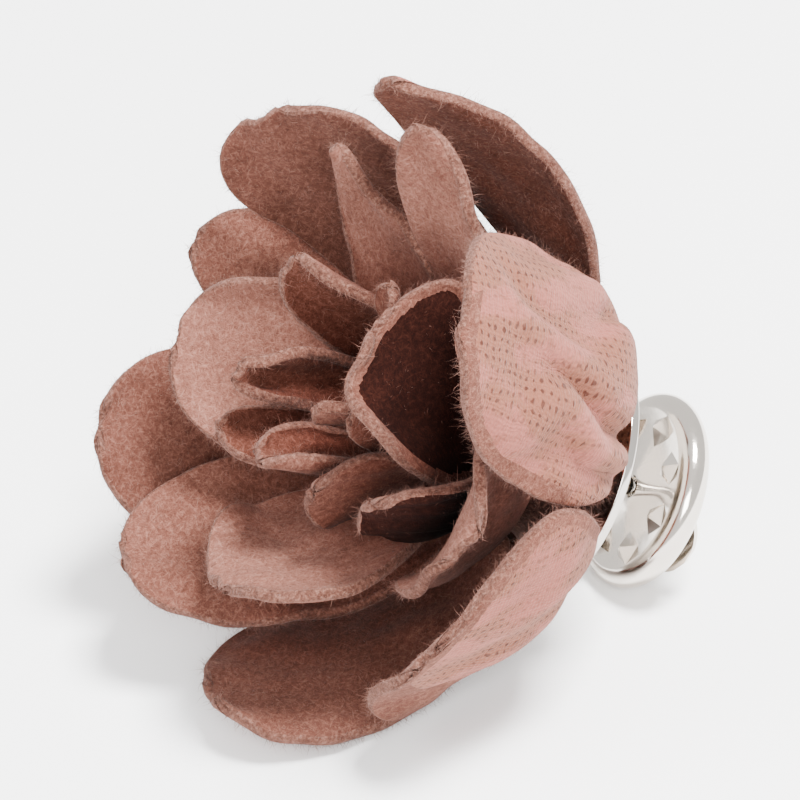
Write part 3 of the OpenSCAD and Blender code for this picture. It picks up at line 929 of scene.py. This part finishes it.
def disc_and_post(mat):
    """The disc with its rounded rim, and the post with its solder, groove and point, as one profile."""
    r, foot, end = POST_R, -DISC_T, -DISC_T - POST_L
    top = foot - CLOTH_GAP + GROOVE_LEAD
    low = top - GROOVE_L
    # The corner on the axis comes first, as five points that the profile's own first point replaces
    corners = [(0.02, 0), (DISC_R, 0), (DISC_R, foot), (r + SOLDER[0][0], foot)]
    profile = [(0.0, 0.0)] + rounded(corners, DISC_ROUNDING, 5)[5:]
    profile += [(r + out, foot - down) for out, down in SOLDER]
    profile += [(r - deep, top - inward) for deep, inward in GROOVE_EASE]
    profile += [(r - deep, low + inward) for deep, inward in reversed(GROOVE_EASE)]
    taper = profile[-1][1] - end
    profile += [(r * share, end + taper * share) for share in (0.8, 0.4)]
    profile += [(0.06, end + 0.30), (0.0, end + 0.06)]
    v, f = lathe(profile)
    return keep_corners(45, build_mesh("pin_disc_and_post", to_row(v), f, [mat]))


def clutch_place(points):
    """From the clutch's own frame to the flower's."""
    a = math.radians(CLUTCH_TURN)
    x = points[:, 0] * math.cos(a) - points[:, 1] * math.sin(a)
    y = points[:, 0] * math.sin(a) + points[:, 1] * math.cos(a)
    return np.stack([x, y, points[:, 2] - DISC_T - CLOTH_GAP], -1)


def stud(angle, base):
    """A raised point of the clutch's face at an angle round it, its corners numbered from base."""
    c, s = math.cos(angle), math.sin(angle)
    w = STUD_W / math.sqrt(2)
    verts = []
    for share, high in STUD_RINGS:
        for q in np.radians([0, 90, 180, 270]):
            x, y = w * share * math.cos(q), w * share * math.sin(q)
            verts.append((STUD_RING_R * c + x * c - y * s, STUD_RING_R * s + x * s + y * c, high))
    verts.append((STUD_RING_R * c, STUD_RING_R * s, STUD_H))
    faces = []
    for k in range(4):
        n = (k + 1) % 4
        faces += [(base + row + k, base + row + n, base + row + 4 + n, base + row + 4 + k) for row in (0, 4)]
        faces.append((base + 8 + k, base + 8 + n, base + 12))
    return verts, faces


def clutch_cap(mat):
    """The clutch's pressed face, with its rolled rim, raised points and the bead round the post's hole."""
    face_r = CLUTCH_R - RIM_R
    profile = [(BORE_R + out, high) for out, high in BEAD]
    start_r, start_h = profile[-1]
    for s in np.linspace(0.05, 1, DISH_STEPS):
        dish = start_h * (1 - s) - DISH * math.sin(math.pi * s)
        profile.append((start_r + (face_r - start_r) * s, dish))
    arc_down = np.radians(np.linspace(*ROLL_ARC, ROLL_STEPS))
    for roll_r, angles in ((RIM_R, arc_down), (RIM_R - SHEET_T, arc_down[::-1])):
        profile += [(face_r + roll_r * math.cos(q), -RIM_R + roll_r * math.sin(q)) for q in angles]
    profile += [(face_r, -SHEET_T), (BORE_R + 0.6, -SHEET_T), (BORE_R, -SHEET_T)]
    v, faces = lathe(profile, 192, True)

    radius = np.hypot(v[:, 0], v[:, 1])
    turn = np.arctan2(v[:, 1], v[:, 0]) - math.radians(RIDGE_AT)
    aside = ((turn + math.pi) % (2 * math.pi) - math.pi) * radius
    ridge = RIDGE_H * np.exp(-(aside / RIDGE_W) ** 2)
    ridge *= np.sin(np.pi * np.clip((radius - BORE_R) / (face_r - BORE_R), 0, 1))
    v[:, 2] += np.where((radius < face_r) & (v[:, 2] > -SHEET_T * 0.8), ridge, 0)

    verts = list(map(tuple, v))
    for i in range(STUDS):
        more, corners = stud((i + 0.5) * 2 * math.pi / STUDS, len(verts))
        verts += more
        faces += corners
    return keep_corners(28, build_mesh("clutch_face_and_rim", to_row(clutch_place(np.array(verts))), faces, [mat]))


def clutch_wings(mat):
    """The spring plate inside the clutch and its two squeeze wings, each a bent strip of sheet."""
    back = -SHEET_T - PLATE_GAP - SHEET_T
    plate_r = CLUTCH_R - RIM_R - PLATE_INSET
    corners = [(BORE_R, back), (plate_r, back), (plate_r, back + SHEET_T), (BORE_R, back + SHEET_T)]
    v, faces = lathe(rounded(corners, 0.1, 4), 96, True)
    verts = [tuple(q) for q in v]
    rise, half_w = math.radians(WING_RISE), WING_W / 2
    rows, cols = WING_MESH[0] + 1, WING_MESH[1] + 1
    for flip in (1, -1):
        base = len(verts)
        for lift in (WING_TRIM, SHEET_T - WING_TRIM):
            faces += grid_faces(rows, cols, len(verts))
            for s in np.linspace(0, WING_L, rows):
                # Round at the end, and a little narrower at the bend
                over = max(s - (WING_L - half_w), 0) / half_w
                half = half_w * math.sqrt(max(1 - over ** 2, 0.0)) * min(1.0, 0.86 + 0.14 * s / 0.5)
                for y in np.linspace(-half, half, cols):
                    up = lift + WING_BOW[0] * (s / WING_L) ** 2 - WING_BOW[1] * (y / half_w) ** 2
                    x = BORE_R + FOOT_RING + s * math.cos(rise) + up * math.sin(rise)
                    z = back - s * math.sin(rise) + up * math.cos(rise)
                    verts.append((flip * x, flip * y, z))
        ring = base + around(np.arange(rows * cols).reshape(rows, cols))
        for a, b in zip(ring.tolist(), np.roll(ring, -1).tolist()):
            faces.append((a, b, b + rows * cols, a + rows * cols))
    return keep_corners(40, build_mesh("clutch_spring_wings", to_row(clutch_place(np.array(verts))), faces, [mat]))


# ---- Build ----

# Colours are dark, mean and light. A felt may have its own sheen, and its bump's height in metres.
front = felt("felt_front", (0.066, 0.0235, 0.0155), (0.12, 0.046, 0.032), (0.195, 0.087, 0.063))
# The near-black back of some middle petals: painted shade
back_painted_shade = felt("felt_back_painted_shade", (0.0075, 0.0015, 0.0008), (0.014, 0.003, 0.0017), (0.028, 0.0078, 0.0048), 0,
              0.00012)
# A lighter copy of the front felt: painted light on middle petals that face the light
pale = felt("felt_painted_light", (0.092, 0.035, 0.024), (0.162, 0.066, 0.0475), (0.235, 0.11, 0.082))
# A darker copy of the front felt: painted shade
shade_felt = felt("felt_painted_shade", (0.049, 0.017, 0.0112), (0.088, 0.0325, 0.0223), (0.148, 0.064, 0.046), 0.05)
# A still darker copy of the front felt: painted shade, on outer_petal_8 and on the bud's petals
deeper_shade_felt = felt("felt_painted_deeper_shade", (0.038, 0.011, 0.0066), (0.07, 0.0225, 0.014), (0.12, 0.046, 0.032), 0.03)
rear = woven_back("woven_back", pale=(0.172, 0.064, 0.04), rosy=(0.232, 0.077, 0.0585),
                  brown=(0.118, 0.04, 0.024), dot=(0.055, 0.015, 0.0085))
edge_mat = felt_edge("felt_edge", (0.064, 0.025, 0.0172), (0.122, 0.05, 0.0355), (0.2, 0.098, 0.073))
# The core's felt, much darker than the edge felt: painted shade in the flower's middle, whose mesh carries no gap
# shade
core_painted_shade = felt_edge("felt_core_painted_shade", (0.02, 0.008, 0.006), (0.04, 0.017, 0.012), (0.07, 0.032, 0.024))
fibre_front = fibre_material("fibre_front", (0.08, 0.032, 0.022), (0.215, 0.11, 0.084))
fibre_back = fibre_material("fibre_back", (0.19, 0.075, 0.052), (0.32, 0.16, 0.125))
fibre_rim = fibre_material("fibre_rim", (0.085, 0.034, 0.024), (0.205, 0.102, 0.078))
pin_metal = plated_metal("pin_plating", (0.56, 0.52, 0.48), 0.1)
clutch_metal = plated_metal("clutch_plating", (0.67, 0.61, 0.545), 0.13)

# The petals whose back is painted near-black brown as shade; the outer ones' is pale and woven, the others' napped
# felt
SHADED_BACKS = [f"middle_petal_{n}" for n in (4, 7, 8)]
# The petals whose nap is painted lighter or darker than the rest, as light and shade falling on them
PAINTED_LIGHT_PETALS = [f"middle_petal_{n}" for n in (1, 2, 3, 5, 6)]
# outer_petal_5 and outer_petal_7 get a darker copy of the front felt as painted shade
PAINTED_SHADE_PETALS = ("outer_petal_5", "outer_petal_7")
# outer_petal_8 gets the still darker copy of the front felt as painted shade
DEEPER_SHADE_PETALS = ("outer_petal_8",)


def felts_of(name, ring):
    """What a petal's front and back are made of; some are copies of a felt painted lighter or darker as light and
    shade.
    """
    if name in PAINTED_LIGHT_PETALS:
        nap = pale
    elif name in PAINTED_SHADE_PETALS:
        nap = shade_felt
    else:
        nap = deeper_shade_felt if name in DEEPER_SHADE_PETALS or ring == "inner" else front
    if ring == "outer":
        return nap, rear
    if name in SHADED_BACKS:
        return nap, back_painted_shade
    return nap, front if ring == "inner" else nap


rows = [USUAL | dict(zip(COLUMNS, r), name=f"{ring}_petal_{n}", ring=ring)
        for ring, table in PETALS.items() for n, r in enumerate(table, 1)]
looks = [dict(zip(LOOKS, r), index=i) for i, r in enumerate(CLOTH)]
cloths = [worked_surface(p, look, petal_tree([q for q in rows if q is not p])) for p, look in zip(rows, looks)]
painted_gap_shade(cloths)
groups = {}
for p, cloth in zip(rows, cloths):
    ob = petal_mesh(p, cloth, [*felts_of(p["name"], p["ring"]), edge_mat])
    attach(ob, "flower")
    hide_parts(p["name"])
    groups.setdefault(p["ring"], []).append((p, cloth))

for seed, (group, members) in enumerate(sorted(groups.items())):
    rng = np.random.default_rng(101 + seed)
    kinds = {"front": [], "back": [], "rim": []}
    for p, cloth in members:
        count = int(cloth_area(cloth["mid"]) * NAP)
        on_front = int(count * (BUD_NAP if group == "inner" else 1.0))
        on_back = int(count * (DARK_NAP if p["name"] in SHADED_BACKS else BACK_NAP))
        kinds["front"].append(sample_nap(cloth, rng, on_front, 1))
        kinds["back"].append(sample_nap(cloth, rng, on_back, -1))
        side = np.linalg.norm(np.diff(cloth["mid"][:, 0], axis=0), axis=1).sum()
        kinds["rim"].append(sample_rim(cloth, rng, int((side * 2 + p["width"] * FLOWER_R) * RIM)))
    finishes = {"front": fibre_front, "back": fibre_back if group == "outer" else fibre_front, "rim": fibre_rim}
    for kind, (low, high, wide) in FIBRES.items():
        # deep: how shut in each fibre's root is, painted on the fibre as shade
        root, way, bend, deep = (np.concatenate([q[i] for q in kinds[kind]]) for i in range(4))
        long = low + (high - low) * rng.random(len(root)) ** 2.4
        widths = wide * rng.uniform(0.7, 1.3, len(root))
        ob = fibre_mesh(f"{group}_{kind}_fibres", root, way, long, widths, bend, deep, finishes[kind])
        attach(ob, "flower")

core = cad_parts["flower_core"]
core.data.materials.clear()
core.data.materials.append(core_painted_shade)

for made, nodes, body, slot in (
    (disc_and_post(pin_metal), ("disc_and_post",), "flower", "pin_metal"),
    (clutch_cap(clutch_metal), ("clutch_cap",), "clutch", "clutch_metal"),
    (clutch_wings(clutch_metal), ("clutch_wings",), "clutch", "clutch_metal"),
):
    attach(made, body)
    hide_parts(*nodes)


# ---- Floor, light and camera ----

def make_floor():
    m, nt, b = new_material("floor")
    set_inputs(b, {"Base Color": (0.95, 0.95, 0.95, 1), "Roughness": 0.85, "Specular IOR Level": 0.1})
    corners = [(x * FLOOR_HALF, y * FLOOR_HALF, FLOOR_Z) for x, y in ((-1, -1), (1, -1), (1, 1), (-1, 1))]
    return build_mesh("floor", corners, [(0, 1, 2, 3)], [m])


make_floor()


def camera_ways():
    """The camera's right, up and back in the row frame."""
    turn = LAID.to_3x3().normalized()
    return [(turn @ Vector(v)).normalized() for v in (CAM_RIGHT, CAM_UP, CAM_BACK)]


def area_light(name, at, size, power):
    light = bpy.data.lights.new(name, "AREA")
    light.size = size
    light.energy = power
    ob = add_object(name, light)
    centre = LAID @ Vector(LIT_AT)
    ob.location = centre + sum((w * d for w, d in zip(camera_ways(), at)), Vector())
    ob.rotation_mode = "QUATERNION"
    ob.rotation_quaternion = (centre - ob.location).to_track_quat("-Z", "Y")


for name, light in LIGHTS.items():
    area_light(name, *light)

world = bpy.data.worlds.new("studio")
world.use_nodes = True
set_inputs(world.node_tree.nodes["Background"], {"Color": (1, 1, 1, 1), "Strength": WORLD_LIGHT})
bpy.context.scene.world = world


def make_camera():
    """The photograph's camera: it is turned with the flower, and looks at the picture's middle, beside the disc."""
    right, up, back = camera_ways()
    disc = LAID @ Vector((0, 0, 0))
    at = disc + back * CAM_DIST * MM
    aim = disc - right * DISC_AT[0] * VIEW_MM / 2 * MM + up * DISC_AT[1] * VIEW_MM / 2 * MM
    look = (aim - at).normalized()
    side = look.cross(up).normalized()
    cam = bpy.data.cameras.new("camera")
    cam.sensor_width = SENSOR
    cam.lens = SENSOR * (aim - at).length / (VIEW_MM * MM)
    cam.clip_start, cam.clip_end = 0.01, 10
    ob = add_object("camera", cam)
    ob.matrix_world = Matrix((side, side.cross(look), -look)).transposed().to_4x4()
    ob.location = at
    bpy.context.scene.camera = ob


make_camera()
